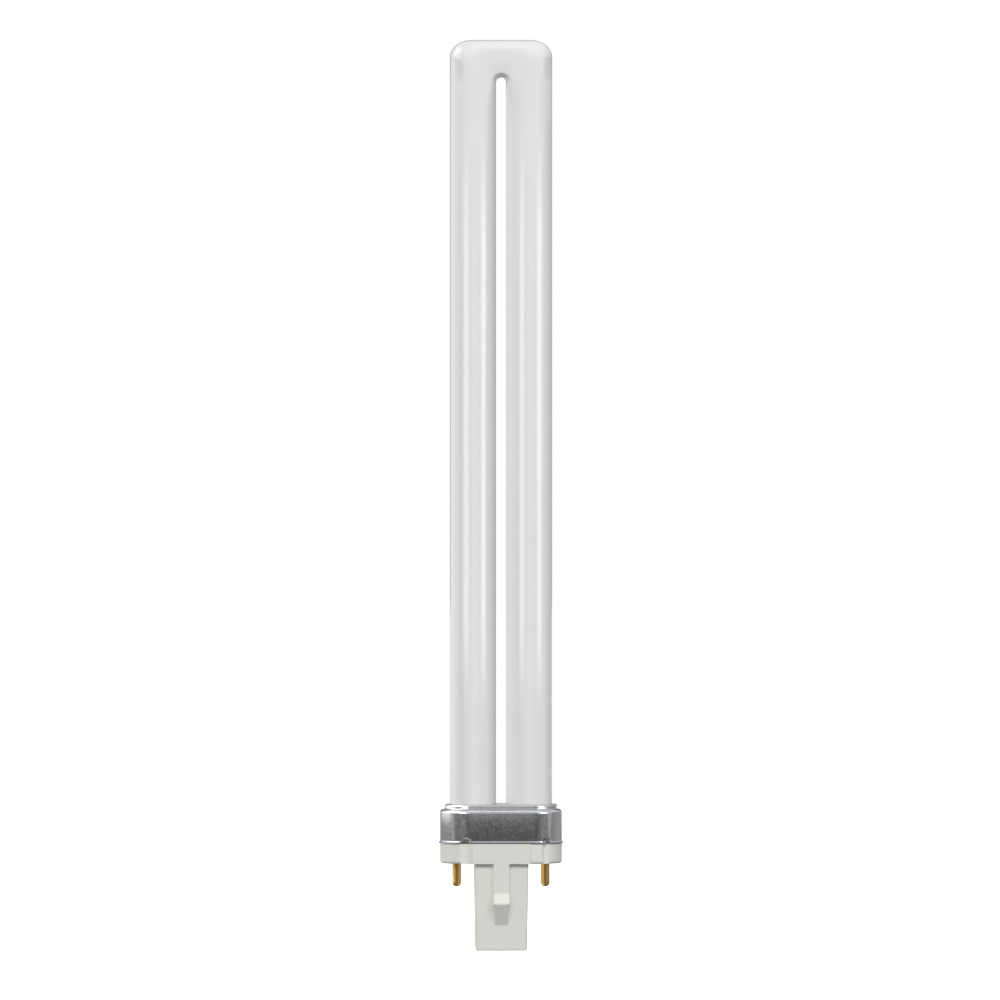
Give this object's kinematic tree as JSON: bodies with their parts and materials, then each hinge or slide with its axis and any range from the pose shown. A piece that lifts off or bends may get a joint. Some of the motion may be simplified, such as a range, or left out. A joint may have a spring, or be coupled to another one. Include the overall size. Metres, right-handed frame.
{
  "type": "compact fluorescent bulb",
  "caption": "Compact fluorescent bulb: a U-bent coated glass tube held in a crimped metal collar, on a plug-in cap with latch noses and contact pins.",
  "frame": {"origin": "on the lamp's axis, in the seating face of the cap, halfway between the contact pins", "axes": "+Z from the cap along the glass legs, X along the line of the pins, -Y the front"},
  "size_m": [0.0322, 0.0202, 0.2365],
  "materials": {
    "coated_glass": "clear glass, coated white inside, gloss",
    "drawn_aluminium": "drawn, satin",
    "cap_plastic": "moulded, satin",
    "pin_brass": "turned, satin",
    "cement": "poured, matt",
    "starter_glass": "clear, gloss",
    "capacitor_coat": "dipped, satin",
    "lead_nickel": "drawn wire, plated"
  },
  "bodies": {
    "root": {"discharge_tube": "coated_glass", "collar": "drawn_aluminium", "cap_body": "cap_plastic", "contact_pin_left": "pin_brass", "contact_pin_right": "pin_brass", "basing_cement": "cement", "glow_starter": "starter_glass", "suppression_capacitor": "capacitor_coat", "lead_wire_left_pin": "lead_nickel", "lead_wire_left_starter": "lead_nickel", "lead_wire_right_pin": "lead_nickel", "lead_wire_right_starter": "lead_nickel", "capacitor_lead_left": "lead_nickel", "capacitor_lead_right": "lead_nickel"}
  },
  "joints": []
}
